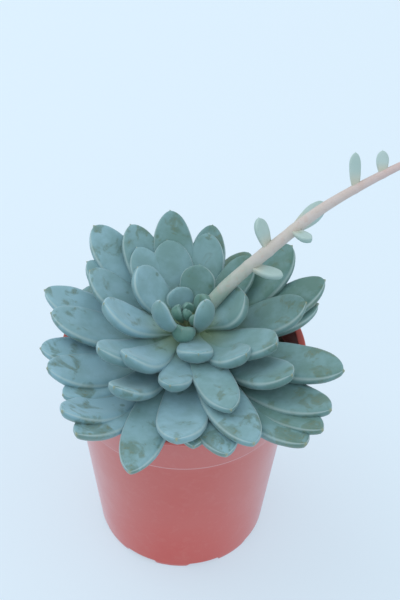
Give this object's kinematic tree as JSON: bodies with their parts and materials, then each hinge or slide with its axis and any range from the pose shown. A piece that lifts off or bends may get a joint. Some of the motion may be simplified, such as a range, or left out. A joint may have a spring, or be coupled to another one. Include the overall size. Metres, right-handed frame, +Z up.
{
  "type": "potted succulent",
  "caption": "Rosette succulent with fleshy blue-green leaves and one arching flower stalk, planted in a thin round plastic nursery pot.",
  "frame": {"origin": "centre of the pot's underside, on the surface it stands on", "axes": "+Z up along the pot's axis; the flower stalk leans towards +X; -Y is the side seen first"},
  "size_m": [0.1616, 0.121, 0.1754],
  "materials": {
    "pot": "brick red, slightly satin, thin moulded plastic",
    "soil": "dark crumbly potting soil",
    "stem": "matt green-brown stem",
    "stalk": "pale pinkish beige, waxy and matt",
    "bud": "pale pink-green, matt",
    "bract": "pale mint, waxy and matt",
    "leaf": "blue-green with a powdery bloom, waxy and matt"
  },
  "bodies": {
    "root": {"pot": "pot", "soil": "soil", "stem": "stem", "flower_stalk": "stalk", "flower_buds": "bud", "bract_1": "bract", "bract_2": "bract", "bract_3": "bract", "bract_4": "bract", "bract_5": "bract", "bract_6": "bract", "leaf_01": "leaf", "leaf_02": "leaf", "leaf_03": "leaf", "leaf_04": "leaf", "leaf_05": "leaf", "leaf_06": "leaf", "leaf_07": "leaf", "leaf_08": "leaf", "leaf_09": "leaf", "leaf_10": "leaf", "leaf_11": "leaf", "leaf_12": "leaf", "leaf_13": "leaf", "leaf_14": "leaf", "leaf_15": "leaf", "leaf_16": "leaf", "leaf_17": "leaf", "leaf_18": "leaf", "leaf_19": "leaf", "leaf_20": "leaf", "leaf_21": "leaf", "leaf_22": "leaf", "leaf_23": "leaf", "leaf_24": "leaf", "leaf_25": "leaf", "leaf_26": "leaf", "leaf_27": "leaf", "leaf_28": "leaf", "leaf_29": "leaf", "leaf_30": "leaf", "leaf_31": "leaf", "leaf_32": "leaf", "leaf_33": "leaf", "leaf_34": "leaf", "leaf_35": "leaf", "leaf_36": "leaf", "leaf_37": "leaf", "leaf_38": "leaf", "leaf_39": "leaf", "leaf_40": "leaf", "leaf_41": "leaf", "leaf_42": "leaf", "leaf_43": "leaf", "leaf_44": "leaf", "leaf_45": "leaf", "leaf_46": "leaf", "leaf_47": "leaf", "leaf_48": "leaf", "leaf_49": "leaf"}
  },
  "joints": []
}
